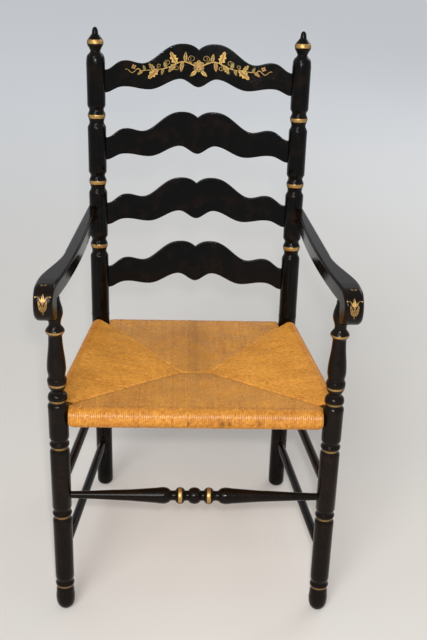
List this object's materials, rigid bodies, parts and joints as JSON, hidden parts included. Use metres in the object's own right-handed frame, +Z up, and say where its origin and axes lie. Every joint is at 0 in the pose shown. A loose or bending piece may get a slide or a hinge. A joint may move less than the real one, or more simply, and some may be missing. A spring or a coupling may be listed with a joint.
{
  "type": "ladder-back armchair",
  "caption": "Black ladder-back armchair with scalloped slats, turned posts and finials, flared arms that end in scrolls, and a woven rush seat.",
  "frame": {"origin": "on the floor, under the middle of the chair's bounding box", "axes": "+Z up, +Y towards the back, +X towards the right as seen by someone who faces the chair; the chair is symmetric about the plane X = 0"},
  "size_m": [0.5872, 0.6078, 1.0566],
  "materials": {
    "black_lacquer": "glossy black lacquer with painted gold bands on the beads, brownish where it is worn",
    "bare_wood": "unfinished turned wood",
    "rush": "twisted golden rush with a satin sheen",
    "straw": "dry packed rush"
  },
  "bodies": {
    "root": {"rear_post_left": "black_lacquer", "rear_post_right": "black_lacquer", "front_post_left": "black_lacquer", "front_post_right": "black_lacquer", "arm_left": "black_lacquer", "arm_right": "black_lacquer", "slat_top": "black_lacquer", "slat_upper": "black_lacquer", "slat_lower": "black_lacquer", "slat_bottom": "black_lacquer", "seat_rail_front": "bare_wood", "seat_rail_back": "bare_wood", "seat_rail_left": "bare_wood", "seat_rail_right": "bare_wood", "front_stretcher": "black_lacquer", "side_stretcher_upper_left": "black_lacquer", "side_stretcher_upper_right": "black_lacquer", "side_stretcher_lower_left": "black_lacquer", "side_stretcher_lower_right": "black_lacquer", "rear_stretcher": "black_lacquer", "rush_seat": "rush", "stuffing_front": "straw", "stuffing_back": "straw", "stuffing_left": "straw", "stuffing_right": "straw", "top_slat_pegs": "black_lacquer", "arm_pegs": "black_lacquer"}
  },
  "joints": []
}
